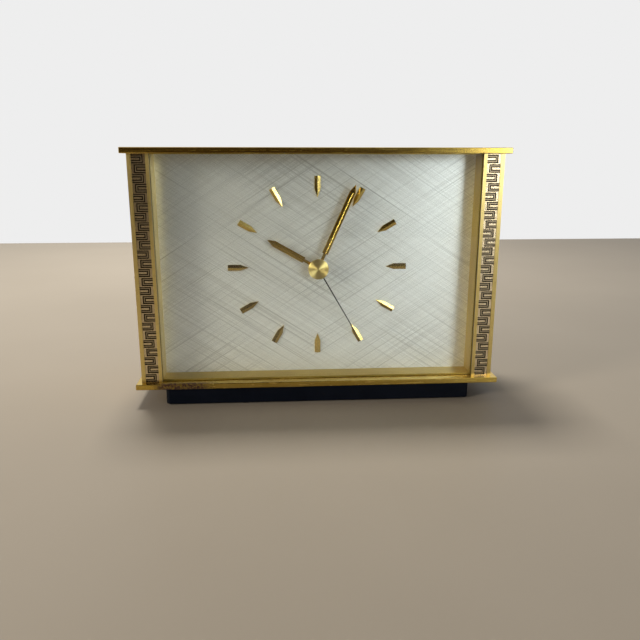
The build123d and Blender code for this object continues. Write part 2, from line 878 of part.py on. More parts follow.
# Escape wheel behind the rear plate, with its pinion between the plates
escape_wheel = rod(escape_axis, train_arbor_radius, movement_front, escape_wheel_back)
escape_wheel += slab(
    toothed(
        escape_pinion_leaves,
        train_module,
        pinion_leaf_shares,
        facing(escape_direction + 180, escape_pinion_leaves),
    ),
    escape_axis,
    seconds_wheel_front - pinion_overhang,
    seconds_wheel_back + pinion_overhang,
)
escape_module = 2 * escape_wheel_radius / escape_wheel_teeth
escape_wheel += slab(
    toothed(escape_wheel_teeth, escape_module, escape_tooth_shares),
    escape_axis,
    escape_wheel_front,
    escape_wheel_back,
)
save("escape_wheel", escape_wheel)

# Cannon pinion: the minute tube, with collars for the centre wheel and the clutch spring
cannon = rod(hand_axis, tube_radius, minute_hand_front, tube_back)
cannon += slab(
    toothed(
        cannon_pinion_leaves, cannon_module, pinion_leaf_shares, facing(set_direction, cannon_pinion_leaves)
    ),
    hand_axis,
    minute_wheel_front - pinion_overhang,
    minute_wheel_back + pinion_overhang,
)
cannon += rod(hand_axis, tube_radius + collar_width, collar_front, centre_wheel_front)
cannon += rod(hand_axis, tube_radius + collar_width, clutch_back, tube_back)
cannon -= rod(hand_axis, tube_bore, minute_hand_front - overrun, tube_back + overrun)
save("cannon_pinion", cannon)

# Clutch spring: a dished washer that presses the centre wheel against its collar
clutch_inner = tube_radius + press_clearance
clutch_rim = centre_wheel_back + running_clearance
clutch_section = outline_of(
    [
        (clutch_inner, clutch_back - clutch_thickness),
        (clutch_radius, clutch_rim),
        (clutch_radius, clutch_rim + clutch_thickness),
        (clutch_inner, clutch_back),
    ]
)
clutch_spring = Pos(0, 0, dial_centre) * revolve(clutch_section, axis=Axis.Y)
save("clutch_spring", clutch_spring)

# Minute wheel on the setting arbor, with the pinion that drives the hour wheel
minute_wheel = rod(set_axis, set_arbor_radius, hour_wheel_front, set_arbor_back)
minute_wheel += slab(
    toothed(minute_wheel_teeth, cannon_module, wheel_tooth_shares, set_direction + 180),
    set_axis,
    minute_wheel_front,
    minute_wheel_back,
)
minute_wheel += slab(
    toothed(
        minute_pinion_leaves,
        hour_module,
        pinion_leaf_shares,
        facing(set_direction + 180, minute_pinion_leaves),
    ),
    set_axis,
    hour_wheel_front - pinion_overhang,
    minute_wheel_front,
)
save("minute_wheel", minute_wheel)

# Hour wheel on its pipe
hour_wheel = rod(hand_axis, pipe_radius, hour_hand_front, hour_wheel_back)
hour_wheel += slab(
    toothed(hour_wheel_teeth, hour_module, wheel_tooth_shares, set_direction),
    hand_axis,
    hour_wheel_front,
    hour_wheel_back,
)
hour_wheel -= rod(hand_axis, pipe_bore, hour_hand_front - overrun, hour_wheel_back + overrun)
save("hour_wheel", hour_wheel)

# Setting knob: fluted, pressed on the setting arbor behind the cover
knob_module = 2 * knob_radius / knob_flutes
knob = slab(toothed(knob_flutes, knob_module, knob_flute_shares), set_axis, knob_front, knob_back)
knob -= rod(set_axis, set_arbor_radius + press_clearance, knob_front - overrun, set_arbor_back)
save("set_knob", knob)

# Movement plates, with a running hole for every arbor that passes through
movement_width = movement_right - movement_left
movement_middle = ((movement_left + movement_right) / 2, dial_centre)
plate_outline = RectangleRounded(movement_width, movement_height, movement_corner_radius)
train_hole = train_arbor_radius + running_clearance
set_hole = set_arbor_radius + running_clearance
screw_hole = movement_screw_radius + press_clearance
front_plate_holes = [(hand_axis, tube_radius + running_clearance), (set_axis, set_hole)]
front_plate_holes += [(third_axis, train_hole), (escape_axis, train_hole)]
front_plate_holes += [(place, pillar_spigot_radius + press_clearance) for place in pillar_places]
front_plate_holes += [(place, screw_hole) for place in foot_places]
rear_plate_holes = [(hand_axis, seconds_arbor_radius + running_clearance), (set_axis, set_hole)]
rear_plate_holes += [(third_axis, train_hole), (escape_axis, train_hole)]
rear_plate_holes += [(balance_axis, balance_staff_radius + running_clearance)]
rear_plate_holes += [(place, screw_hole) for place in pillar_places + cock_places]
for name, front, holes in (
    ("front_movement_plate", movement_front, front_plate_holes),
    ("rear_movement_plate", rear_plate_front, rear_plate_holes),
):
    back = front + movement_plate_thickness
    frame_plate = slab(plate_outline, movement_middle, front, back)
    for axis, radius in holes:
        frame_plate -= rod(axis, radius, front - overrun, back + overrun)
    save(name, frame_plate)

# Pillars, riveted to the front plate and tapped at the back
pillars = []
for place in pillar_places:
    pillar = rod(place, pillar_radius, front_plate_back, rear_plate_front)
    pillar += rod(place, pillar_spigot_radius, movement_front, front_plate_back)
    pillar -= rod(place, screw_hole, rear_plate_front - thread_depth, rear_plate_front + overrun)
    pillars.append(pillar)
save("movement_pillars", *pillars)

# Dial feet, soldered to the dial and tapped at the back
feet = []
for place in foot_places:
    foot = rod(place, pillar_radius, dial_back, movement_front)
    feet.append(foot - rod(place, screw_hole, movement_front - thread_depth, movement_front + overrun))
save("dial_feet", *feet)

# Balance cock: a bridge on two feet, with the hairspring's stud and the regulator's boss
hairspring_start = collet_radius + running_clearance + hairspring_strip / 2
hairspring_end = hairspring_start + hairspring_turns * hairspring_pitch
stud_size = hairspring_pitch
cock = block(
    cock_places[0][0] - pillar_radius,
    cock_places[1][0] + pillar_radius,
    cock_front,
    cock_back,
    balance_axis[1] - cock_width / 2,
    balance_axis[1] + cock_width / 2,
)
for place in cock_places:
    cock += rod(place, pillar_radius, rear_plate_back, cock_front)
    cock -= rod(place, screw_hole, rear_plate_back - overrun, rear_plate_back + thread_depth)
cock += rod(balance_axis, boss_radius, cock_back, cock_back + boss_height)
cock += block(
    balance_axis[0] + hairspring_end - stud_size / 2,
    balance_axis[0] + hairspring_end + stud_size / 2,
    hairspring_front,
    cock_front,
    balance_axis[1],
    balance_axis[1] + stud_size,
)
cock -= rod(balance_axis, balance_staff_radius + running_clearance, cock_front - overrun, cock_back)
save("balance_cock", cock)

# Hairspring: a flat spiral of half rings, each pair set off by half the pitch
half_rings = []
for turn in range(hairspring_turns):
    near_radius = hairspring_start + turn * hairspring_pitch
    for offset, start in ((0, 0), (hairspring_pitch / 2, 180)):
        middle_radius = near_radius + offset
        outer_arc = CenterArc((offset, 0), middle_radius + hairspring_strip / 2, start, 180)
        inner_arc = CenterArc((offset, 0), middle_radius - hairspring_strip / 2, start, 180)
        ends = [Line(outer_arc @ end, inner_arc @ end) for end in (0, 1)]
        half_rings.append(make_face([outer_arc, inner_arc, *ends]))
save("hairspring", slab(Sketch() + half_rings, balance_axis, hairspring_front, hairspring_back))

# Balance: two discs on one staff, with an impulse pin and holes for magnets and counterweights
magnet_places = [(balance_axis[0], balance_axis[1] + side * magnet_orbit) for side in sides]
balance = rod(balance_axis, balance_staff_radius, rear_plate_front, cock_back)
balance += rod(balance_axis, collet_radius, front_disc_front, bobbin_front)
balance += rod(balance_axis, collet_radius, board_back, hairspring_back)
for front, back in ((front_disc_front, front_disc_back), (rear_disc_front, rear_disc_back)):
    balance += rod(balance_axis, balance_radius, front, back)
    for place in magnet_places:
        balance -= rod(place, magnet_radius + press_clearance, front - overrun, back + overrun)
impulse_pin = polar(balance_axis, impulse_pin_orbit, balance_direction + 180)
balance += rod(impulse_pin, impulse_pin_radius, escape_wheel_front, front_disc_front)
save("balance_wheel", balance)

# Balance magnets, pressed through the discs, and counterweights of the same size opposite them
magnets = []
for place in magnet_places:
    magnets.append(rod(place, magnet_radius, front_disc_back - magnet_length, front_disc_back))
    magnets.append(rod(place, magnet_radius, rear_disc_front, rear_disc_front + magnet_length))
save("balance_magnets", *magnets)

# Regulator lever: a ring on the cock's boss, with an arm and a pin that reaches through the cover
regulator_bore = boss_radius + running_clearance
regulator_arm = Pos(0, -regulator_reach / 2) * Rectangle(regulator_arm_width, regulator_reach)
regulator_outline = Circle(regulator_bore + regulator_ring_wall) + regulator_arm
regulator_outline += Pos(0, -regulator_reach) * Circle(regulator_arm_width / 2)
regulator = slab(regulator_outline - Circle(regulator_bore), balance_axis, regulator_front, regulator_back)
regulator_tip = polar(balance_axis, regulator_reach, -90)
regulator += rod(regulator_tip, regulator_pin_radius, regulator_back, cover_back + regulator_pin_proud)
save("regulator_lever", regulator)

# Drive coil: a flanged bobbin on the board's tongue, with its winding
bobbin = rod(coil_axis, bobbin_core_radius, bobbin_front, board_front)
bobbin += rod(coil_axis, bobbin_radius, bobbin_front, bobbin_front + bobbin_flange)
bobbin += rod(coil_axis, bobbin_radius, board_front - bobbin_flange, board_front)
save("coil_bobbin", bobbin)
winding_front = bobbin_front + bobbin_flange
winding_back = board_front - bobbin_flange
winding = rod(coil_axis, bobbin_radius - winding_inset, winding_front, winding_back)
winding_bore = bobbin_core_radius + press_clearance
winding -= rod(coil_axis, winding_bore, winding_front - overrun, winding_back + overrun)
save("coil_winding", winding)

# Circuit board, with a tongue that carries the coil between the balance's discs
board = block(board_left, board_right, board_front, board_back, board_bottom, board_top)
board += block(
    coil_axis[0] - bobbin_radius,
    coil_axis[0] + bobbin_radius,
    board_front,
    board_back,
    coil_axis[1],
    board_bottom,
)
board += rod(coil_axis, bobbin_radius, board_front, board_back)
for place in board_places:
    board -= rod(place, screw_hole, board_front - overrun, board_back + overrun)
save("circuit_board", board)
spacers = []
for place in board_places:
    spacer = rod(place, board_spacer_radius, rear_plate_back, board_front)
    spacers.append(spacer - rod(place, screw_hole, board_front - thread_depth, board_front + overrun))
save("board_spacers", *spacers)

# Transistor and capacitor on the back of the board
component_height = board_bottom + component_share * board_height
transistor_axis = (board_left + component_share * board_width, component_height)
transistor = rod(transistor_axis, transistor_radius, board_back, board_back + transistor_height)
transistor += rod(
    transistor_axis, transistor_radius + transistor_flange, board_back, board_back + transistor_flange
)
save("transistor", transistor)
capacitor_x = board_right - component_share * board_width
capacitor = Rot(0, 90, 0) * Cylinder(capacitor_radius, capacitor_length)
save("capacitor", Pos(capacitor_x, board_back + capacitor_radius, component_height) * capacitor)

# Screws of the movement: pillars, dial feet, cock and board
movement_screw = screw(
    movement_screw_radius, movement_screw_length, movement_head_radius, movement_head_height
)
movement_screws = [Pos(x, rear_plate_back, z) * forwards * movement_screw for x, z in pillar_places]
movement_screws += [Pos(x, front_plate_back, z) * forwards * movement_screw for x, z in foot_places]
movement_screws += [Pos(x, rear_plate_front, z) * backwards * movement_screw for x, z in cock_places]
movement_screws += [Pos(x, board_back, z) * forwards * movement_screw for x, z in board_places]
save("movement_screws", *movement_screws)

# Battery: one round cell, upright, positive end up
battery_bottom = holder_seat + negative_contact_height
battery_top = battery_bottom + battery_length
battery = upright(battery_axis, battery_radius, battery_bottom, battery_top - battery_cap_height)
battery += upright(battery_axis, battery_cap_radius, battery_top - battery_cap_height, battery_top)
save("battery", battery)

# Battery holder: a foot on the bottom plate, a back wall, two low sides and a roof
holder_reach = battery_radius + holder_clearance + holder_wall
holder_left = battery_offset - holder_reach
holder_right = battery_offset + holder_reach
holder_front = battery_axis[1] - holder_reach
holder_back = battery_axis[1] + battery_radius
roof_bottom = battery_top + contact_thickness
roof_top = roof_bottom + holder_foot_thickness
side_back = battery_axis[1] - contact_width / 2 - holder_clearance
holder = block(holder_left, holder_right, holder_front, holder_back, floor_level, holder_seat)
holder += block(holder_left, holder_right, holder_front, holder_front + holder_wall, floor_level, roof_top)
holder += block(holder_left, holder_right, holder_front, holder_back, roof_bottom, roof_top)
for edge, inward in ((holder_left, 1), (holder_right, -1)):
    holder += block(edge, edge + inward * holder_wall, holder_front, side_back, floor_level, roof_top)
for place in holder_places:
    holder -= upright(
        place, case_screw_radius + press_clearance, floor_level - overrun, holder_seat + overrun
    )
save("battery_holder", holder)

# Contacts: a flat strip under the roof and a folded leaf under the cell, each with a tab at the left
tab_end = holder_left - contact_tab_length
contact_reach = contact_width / 2
contact_front = battery_axis[1] - contact_reach
contact_back = battery_axis[1] + contact_reach
save(
    "positive_contact",
    block(tab_end, battery_offset + contact_reach, contact_front, contact_back, battery_top, roof_bottom),
)
leaf_radius = negative_contact_height / 2
leaf_middle = holder_seat + leaf_radius
leaf_bend = block(
    battery_offset + contact_reach,
    battery_offset + contact_reach + leaf_radius + overrun,
    contact_front,
    contact_back,
    holder_seat,
    battery_bottom,
)
leaf_axis = (battery_offset + contact_reach, leaf_middle)
leaf_bend &= rod(leaf_axis, leaf_radius, contact_front, contact_back)
leaf_bend -= rod(leaf_axis, leaf_radius - contact_thickness, contact_front - overrun, contact_back + overrun)
negative_contact = leaf_bend + block(
    tab_end,
    battery_offset + contact_reach,
    contact_front,
    contact_back,
    holder_seat,
    holder_seat + contact_thickness,
)
negative_contact += block(
    battery_offset - contact_reach,
    battery_offset + contact_reach,
    contact_front,
    contact_back,
    battery_bottom - contact_thickness,
    battery_bottom,
)
save("negative_contact", negative_contact)


def lead(points):
    """An insulated wire along straight runs, joined by tangent arcs that the runs have room for."""
    runs = [Vector(*end) - Vector(*start) for start, end in zip(points, points[1:])]
    bends = []
    for before, after in zip(runs, runs[1:]):
        half_turn = math.radians(before.get_angle(after) / 2)
        room = bend_share * min(before.length, after.length) / math.tan(half_turn)
        bends.append(min(lead_bend, room))
    path = FilletPolyline(*points, radius=bends)
    return sweep(Plane(path @ 0, z_dir=path % 0) * Circle(lead_radius), path)


# Leads from the contacts' tabs up to the right-hand edge of the board
lead_x = holder_left - contact_tab_length / 2
lead_depth = (board_front + board_back) / 2
lead_height = (board_bottom + board_top) / 2
negative_height = lead_height - lead_spacing / 2
positive_height = lead_height + lead_spacing / 2
negative_start = holder_seat + contact_thickness
save(
    "negative_lead",
    lead(
        [
            (lead_x, battery_axis[1], negative_start),
            (lead_x, battery_axis[1], negative_start + lead_stub),
            (lead_x, lead_depth, negative_start + lead_rise),
            (lead_x, lead_depth, negative_height),
            (board_right, lead_depth, negative_height),
        ]
    ),
)
save(
    "positive_lead",
    lead(
        [
            (lead_x, battery_axis[1], roof_bottom),
            (lead_x, battery_axis[1], roof_bottom + lead_stub),
            (lead_x, lead_depth, positive_height),
            (board_right, lead_depth, positive_height),
        ]
    ),
)

# Rear cover: knob hole, regulator slot and battery opening, with its share of the hinge's knuckles
door_left = battery_offset - battery_radius - door_margin
door_right = battery_offset + battery_radius + door_margin
door_bottom = battery_bottom - door_margin
door_top = battery_top + door_margin
hinge_x = door_right
hinge_y = cover_back + knuckle_gap + knuckle_radius
knuckle_pitch = (door_top - door_bottom) / knuckle_count
cover_reach = panel_inner - cover_clearance
cover = block(
    -cover_reach,
    cover_reach,
    cover_front,
    cover_back,
    floor_level + cover_clearance,
    ceiling_level - cover_clearance,
)
cover -= block(door_left, door_right, cover_front - overrun, cover_back + overrun, door_bottom, door_top)
cover -= rod(set_axis, set_arbor_radius + cover_hole_clearance, cover_front - overrun, cover_back + overrun)
regulator_arc = CenterArc((0, 0), regulator_reach, -90 - regulator_range, 2 * regulator_range)
regulator_slot = SlotArc(regulator_arc, 2 * (regulator_pin_radius + regulator_slot_clearance))
cover -= slab(regulator_slot, balance_axis, cover_front - overrun, cover_back + overrun)
for place in cover_screw_places:
    cover -= rod(place, case_screw_radius + press_clearance, cover_front - overrun, cover_back + overrun)


def knuckle(index, direction, leaf_front):
    """One hinge knuckle with the leaf that joins it to the cover or the door."""
    z0 = door_bottom + index * knuckle_pitch + knuckle_gap / 2
    z1 = z0 + knuckle_pitch - knuckle_gap
    leaf = block(hinge_x, hinge_x + direction * hinge_leaf_width, leaf_front, hinge_y, z0, z1)
    return leaf + upright((hinge_x, hinge_y), knuckle_radius, z0, z1)


hinge_bore = upright((hinge_x, hinge_y), hinge_pin_radius + running_clearance, door_bottom, door_top)
for index in range(0, knuckle_count, 2):
    cover += knuckle(index, 1, cover_back)
save("rear_cover", cover - hinge_bore)

# Battery door: flush in the cover's opening, with a finger lip on its free edge
door = block(
    door_left + door_clearance,
    door_right - door_clearance,
    cover_front,
    cover_back,
    door_bottom + door_clearance,
    door_top - door_clearance,
)
door_middle = (door_bottom + door_top) / 2
door += block(
    door_left + door_clearance,
    door_left + door_clearance + finger_lip_thickness,
    cover_back,
    cover_back + finger_lip_height,
    door_middle - finger_lip_length / 2,
    door_middle + finger_lip_length / 2,
)
for index in range(1, knuckle_count, 2):
    door += knuckle(index, -1, cover_back)
save("battery_door", door - hinge_bore)
save("door_hinge_pin", upright((hinge_x, hinge_y), hinge_pin_radius, door_bottom, door_top))

# Case screws: cover, dial and battery holder
case_screw = screw(case_screw_radius, case_screw_length, case_head_radius, case_head_height)
case_screws = [Pos(x, cover_back, z) * forwards * case_screw for x, z in cover_screw_places]
case_screws += [Pos(x, dial_back, z) * forwards * case_screw for x, z in dial_screw_places]
case_screws += [Pos(x, y, holder_seat) * downwards * case_screw for x, y in holder_places]
save("case_screws", *case_screws)
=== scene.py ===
import math

import bpy
import numpy as np
from mathutils import Matrix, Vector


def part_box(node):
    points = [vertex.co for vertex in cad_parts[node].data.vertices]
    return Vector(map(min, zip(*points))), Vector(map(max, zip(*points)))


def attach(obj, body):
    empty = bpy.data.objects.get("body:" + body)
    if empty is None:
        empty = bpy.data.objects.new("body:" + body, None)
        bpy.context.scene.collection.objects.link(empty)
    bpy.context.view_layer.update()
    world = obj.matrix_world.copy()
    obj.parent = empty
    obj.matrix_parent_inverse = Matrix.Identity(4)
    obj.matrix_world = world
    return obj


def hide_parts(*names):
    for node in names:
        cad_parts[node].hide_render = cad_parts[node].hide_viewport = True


# Table clock: two brass plates held apart by meander columns, on a dark plinth, with a brushed dial behind
# glass. All is in metres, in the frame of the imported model: +X right, +Y back, +Z up, the dial faces -Y.
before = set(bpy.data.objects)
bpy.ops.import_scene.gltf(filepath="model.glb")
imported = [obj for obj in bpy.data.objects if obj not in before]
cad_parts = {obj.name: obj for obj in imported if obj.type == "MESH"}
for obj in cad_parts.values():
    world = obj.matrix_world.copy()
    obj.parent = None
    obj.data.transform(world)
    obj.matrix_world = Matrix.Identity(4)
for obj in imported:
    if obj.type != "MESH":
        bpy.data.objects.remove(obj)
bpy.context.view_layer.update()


# Felt under the plinth: a thin sheet of pressed wool, cut with a die and glued on, so that the clock
# doesn't scratch the table. Its two cut edges are a little soft.

# A Mix node's sockets for numbers, vectors and colours share their names, so they are taken by place.
BLEND = 0
COLOUR_A, COLOUR_B, COLOUR = 6, 7, 2


def linear(code):
    """An sRGB hex colour in linear light: each channel goes through the sRGB curve."""
    srgb = np.array([int(code[i:i + 2], 16) for i in (1, 3, 5)]) / 255
    light = np.where(srgb <= 0.04045, srgb / 12.92, ((srgb + 0.055) / 1.055) ** 2.4)
    return (*light.tolist(), 1.0)


def add(tree, kind, inputs=None, **settings):
    """Adds a node, sets its settings, and gives each input a value or a link from another node's output."""
    node = tree.nodes.new("ShaderNode" + kind)
    for name, value in settings.items():
        setattr(node, name, value)
    for name, value in (inputs or {}).items():
        if isinstance(value, bpy.types.NodeSocket):
            tree.links.new(value, node.inputs[name])
        else:
            node.inputs[name].default_value = value
    return node


def start_material(name, **constants):
    """A new material with one Principled shader. Its constants go straight onto the shader's sockets."""
    material = bpy.data.materials.new(name)
    material.use_nodes = True
    tree = material.node_tree
    tree.nodes.clear()
    sockets = {key.replace("_", " "): value for key, value in constants.items()}
    shader = add(tree, "BsdfPrincipled", sockets)
    add(tree, "OutputMaterial", {"Surface": shader.outputs["BSDF"]})
    return material, tree, shader


def rounded_outline(half_width, half_depth, radius, steps):
    """Rectangles with rounded corners, one for each row of half sizes: a quarter circle about each corner's
    centre, one after another."""
    turn = np.linspace(0, math.pi / 2, steps)
    quarter = np.arange(4)[:, None] * math.pi / 2
    angle = (quarter + turn).ravel()
    side_x = np.repeat([1, -1, -1, 1], steps) * (half_width - radius)
    side_y = np.repeat([1, 1, -1, -1], steps) * (half_depth - radius)
    return side_x + radius * np.cos(angle), side_y + radius * np.sin(angle)


def ring_faces(rings, points):
    """Quads between rings of points, one ring after another, with the last point joined to the first."""
    ring, point = np.meshgrid(np.arange(rings - 1), np.arange(points), indexing="ij")
    after = (point + 1) % points
    lower, upper = ring * points, (ring + 1) * points
    corners = (lower + point, lower + after, upper + after, upper + point)
    return np.stack(corners, axis=-1).reshape(-1, 4).tolist()


felt_low, felt_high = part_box("felt_pad")
felt_edge = 0.00018
felt_corner = 0.0012
corner_steps = 8
edge_steps = 5
edge_turn = np.linspace(0, math.pi / 2, edge_steps)
felt_inset = np.concatenate([felt_edge * (1 - np.sin(edge_turn)), felt_edge * (1 - np.cos(edge_turn))])
felt_rise = np.concatenate([
    felt_low.z + felt_edge * (1 - np.cos(edge_turn)),
    felt_high.z - felt_edge * (1 - np.sin(edge_turn)),
])
felt_x, felt_y = rounded_outline(felt_high.x - felt_inset[:, None], felt_high.y - felt_inset[:, None],
                                 felt_corner, corner_steps)
felt_z = np.broadcast_to(felt_rise[:, None], felt_x.shape)
felt_vertices = np.stack([felt_x, felt_y, felt_z], axis=-1).reshape(-1, 3)
felt_rings, felt_points = felt_x.shape
felt_faces = ring_faces(felt_rings, felt_points)
felt_faces.append(list(range(felt_points))[::-1])
felt_faces.append(list(range((felt_rings - 1) * felt_points, felt_rings * felt_points)))
felt_mesh = bpy.data.meshes.new("felt_sheet")
felt_mesh.from_pydata(felt_vertices.tolist(), [], felt_faces)
felt = bpy.data.objects.new("felt_sheet", felt_mesh)
bpy.context.collection.objects.link(felt)
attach(felt, "case")
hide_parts("felt_pad")

# Pressed wool felt: a dull black-green nap of matted fibres, about 0.3 mm apart.
wool_felt, tree, shader = start_material("pressed_wool_felt", Roughness=0.95, Sheen_Weight=0.3)
where = add(tree, "TexCoord").outputs["Object"]
fibres = add(tree, "TexNoise", {"Vector": where, "Scale": 1 / 0.0003, "Detail": 4.0, "Roughness": 0.7})
nap = add(tree, "Mix", {BLEND: fibres.outputs["Fac"], COLOUR_A: linear("#15201a"),
                        COLOUR_B: linear("#37453b")}, data_type="RGBA")
tree.links.new(nap.outputs[COLOUR], shader.inputs["Base Color"])
pile = add(tree, "Bump", {"Height": fibres.outputs["Fac"], "Strength": 0.6, "Distance": 0.0001})
tree.links.new(pile.outputs["Normal"], shader.inputs["Normal"])
felt_mesh.materials.append(wool_felt)


# Plinth: a block of hardwood with softened corners, sprayed with navy-black satin lacquer
# and screwed up against the bottom plate.

def dress(material, *nodes):
    """Puts a material on the material slots of CAD nodes."""
    for node in nodes:
        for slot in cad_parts[node].material_slots:
            slot.material = material


# Satin lacquer on wood: almost black with a blue cast, a faint orange peel about 1 mm wide, the wood's grain
# under it, and dust that dulls it in patches of about 14 mm.
satin_lacquer, tree, shader = start_material("satin_lacquer_on_wood", Specular_IOR_Level=0.10)
where = add(tree, "TexCoord").outputs["Object"]
peel = add(tree, "TexNoise", {"Vector": where, "Scale": 1 / 0.0011, "Detail": 2.0})
dust = add(tree, "TexNoise", {"Vector": where, "Scale": 1 / 0.014, "Detail": 5.0, "Roughness": 0.65})
grain_lines = add(tree, "Mapping", {"Vector": where, "Scale": (0.060, 0.0012, 0.0012)}, vector_type="TEXTURE")
grain = add(tree, "TexNoise", {"Vector": grain_lines.outputs["Vector"], "Scale": 1.0, "Detail": 3.0})
navy = add(tree, "Mix", {BLEND: dust.outputs["Fac"], COLOUR_A: linear("#04070d"),
                         COLOUR_B: linear("#0c111c")}, data_type="RGBA")
tree.links.new(navy.outputs[COLOUR], shader.inputs["Base Color"])
sheen = add(tree, "MapRange", {"Value": dust.outputs["Fac"], "From Min": 0.3, "From Max": 0.7,
                               "To Min": 0.3, "To Max": 0.46})
tree.links.new(sheen.outputs["Result"], shader.inputs["Roughness"])
relief = add(tree, "Math", {0: peel.outputs["Fac"], 1: grain.outputs["Fac"]}, operation="ADD")
skin = add(tree, "Bump", {"Height": relief.outputs["Value"], "Strength": 0.12, "Distance": 0.0002})
tree.links.new(skin.outputs["Normal"], shader.inputs["Normal"])
dress(satin_lacquer, "plinth")


# Bottom and top plates: 2.7 mm rolled brass, sawn, with polished faces and chamfered edges, lacquered.
# The lacquer has failed along the front edge at the lower left, where the brass has gone brown.

NUMBER_A, NUMBER_B, NUMBER = 2, 3, 0

# Polished lacquered brass: warm yellow, with clouds of faint tarnish, hairlines 0.5 mm wide along the sheet,
# and specks of brown oxide over some 25 mm of the lower front edge.
brass_sheet, tree, shader = start_material("polished_brass_sheet", Metallic=1.0, Anisotropic=0.7)
where = add(tree, "TexCoord").outputs["Object"]
clouds = add(tree, "TexNoise", {"Vector": where, "Scale": 1 / 0.016, "Detail": 4.0, "Roughness": 0.6})
hairs = add(tree, "Mapping", {"Vector": where, "Scale": (0.018, 0.0005, 0.0005)}, vector_type="TEXTURE")
hairlines = add(tree, "TexNoise", {"Vector": hairs.outputs["Vector"], "Scale": 1.0, "Detail": 3.0,
                                   "Roughness": 0.6})
specks = add(tree, "TexNoise", {"Vector": where, "Scale": 1 / 0.0013, "Detail": 4.0, "Roughness": 0.75})
speck = add(tree, "MapRange", {"Value": specks.outputs["Fac"], "From Min": 0.38, "From Max": 0.52})
place = add(tree, "SeparateXYZ", {"Vector": where})
# The oxide ends at its left, its right, its top and its back: where it is clear, and where it is full.
oxide_edges = (("X", -0.083, -0.077, "SMOOTHSTEP"), ("X", -0.050, -0.060, "SMOOTHSTEP"),
               ("Z", 0.016, 0.014, "LINEAR"), ("Y", -0.0270, -0.0285, "LINEAR"))
oxide = speck.outputs["Result"]
for axis, clear_at, full_at, fade in oxide_edges:
    edge = add(tree, "MapRange", {"Value": place.outputs[axis], "From Min": clear_at, "From Max": full_at},
               interpolation_type=fade)
    oxide = add(tree, "Math", {0: oxide, 1: edge.outputs["Result"]}, operation="MULTIPLY").outputs["Value"]
tarnish = add(tree, "MapRange", {"Value": clouds.outputs["Fac"], "From Min": 0.35, "From Max": 0.75})
yellow = add(tree, "Mix", {BLEND: tarnish.outputs["Result"], COLOUR_A: linear("#dfc062"),
                           COLOUR_B: linear("#cfac4e")}, data_type="RGBA")
aged = add(tree, "Mix", {BLEND: oxide, COLOUR_A: yellow.outputs[COLOUR], COLOUR_B: linear("#6b5449")},
           data_type="RGBA")
tree.links.new(aged.outputs[COLOUR], shader.inputs["Base Color"])
polish = add(tree, "MapRange", {"Value": hairlines.outputs["Fac"], "From Min": 0.3, "From Max": 0.7,
                                "To Min": 0.16, "To Max": 0.30})
oxide_roughness = 0.55
dulled = add(tree, "Mix", {BLEND: oxide, NUMBER_A: polish.outputs["Result"], NUMBER_B: oxide_roughness})
tree.links.new(dulled.outputs[NUMBER], shader.inputs["Roughness"])
scored = add(tree, "Bump", {"Height": hairlines.outputs["Fac"], "Strength": 0.08, "Distance": 0.0001})
tree.links.new(scored.outputs["Normal"], shader.inputs["Normal"])
across_sheet = add(tree, "CombineXYZ", {"X": 0.0, "Y": 0.7, "Z": 0.7})
tree.links.new(across_sheet.outputs["Vector"], shader.inputs["Tangent"])
dress(brass_sheet, "bottom_plate", "top_plate")


# Columns: drawn brass bars with a channel milled down the front between two rails,
# clamped between the plates by long screws from below.

# Drawn brass bar: brighter than the plates, with hairlines 0.4 mm wide along the bar from drawing and
# polishing, and painted shade, dark brown, in the channel and on the sides along the glass, where they lie in
# shade.
brass_bar, tree, shader = start_material("drawn_brass_bar", Metallic=1.0, Anisotropic=0.6)
where = add(tree, "TexCoord").outputs["Object"]
draw = add(tree, "Mapping", {"Vector": where, "Scale": (0.0004, 0.0004, 0.022)}, vector_type="TEXTURE")
drawn = add(tree, "TexNoise", {"Vector": draw.outputs["Vector"], "Scale": 1.0, "Detail": 3.0,
                               "Roughness": 0.6})
clouds = add(tree, "TexNoise", {"Vector": where, "Scale": 1 / 0.009, "Detail": 4.0, "Roughness": 0.65})
pits = add(tree, "TexNoise", {"Vector": where, "Scale": 1 / 0.0012, "Detail": 3.0, "Roughness": 0.7})
spots = add(tree, "MapRange", {"Value": pits.outputs["Fac"], "From Min": 0.66, "From Max": 0.74,
                               "To Max": 0.7})
yellow = add(tree, "Mix", {BLEND: clouds.outputs["Fac"], COLOUR_A: linear("#f0d98f"),
                           COLOUR_B: linear("#d6ba6c")}, data_type="RGBA")
spotted = add(tree, "Mix", {BLEND: spots.outputs["Result"], COLOUR_A: yellow.outputs[COLOUR],
                            COLOUR_B: linear("#6e5326")}, data_type="RGBA")
# The painted shade lies behind the front of the rails and inside the outer sides of the columns.
place = add(tree, "SeparateXYZ", {"Vector": where})
column_low, column_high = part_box("right_column")
sunk = add(tree, "MapRange", {"Value": place.outputs["Y"], "From Min": column_low.y + 0.0001,
                              "From Max": column_low.y + 0.0005})
aside = add(tree, "Math", {0: place.outputs["X"]}, operation="ABSOLUTE")
within = add(tree, "MapRange", {"Value": aside.outputs["Value"], "From Min": column_high.x - 0.0001,
                                "From Max": column_high.x - 0.0003})
painted_groove_shade = add(tree, "Math", {0: sunk.outputs["Result"], 1: within.outputs["Result"]}, operation="MULTIPLY")
groove_shaded = add(tree, "Mix", {BLEND: painted_groove_shade.outputs["Value"], COLOUR_A: spotted.outputs[COLOUR],
                          COLOUR_B: linear("#2e210f")}, data_type="RGBA")
tree.links.new(groove_shaded.outputs[COLOUR], shader.inputs["Base Color"])
polish = add(tree, "MapRange", {"Value": drawn.outputs["Fac"], "From Min": 0.3, "From Max": 0.7,
                                "To Min": 0.26, "To Max": 0.36})
tree.links.new(polish.outputs["Result"], shader.inputs["Roughness"])
scored = add(tree, "Bump", {"Height": drawn.outputs["Fac"], "Strength": 0.1, "Distance": 0.0001})
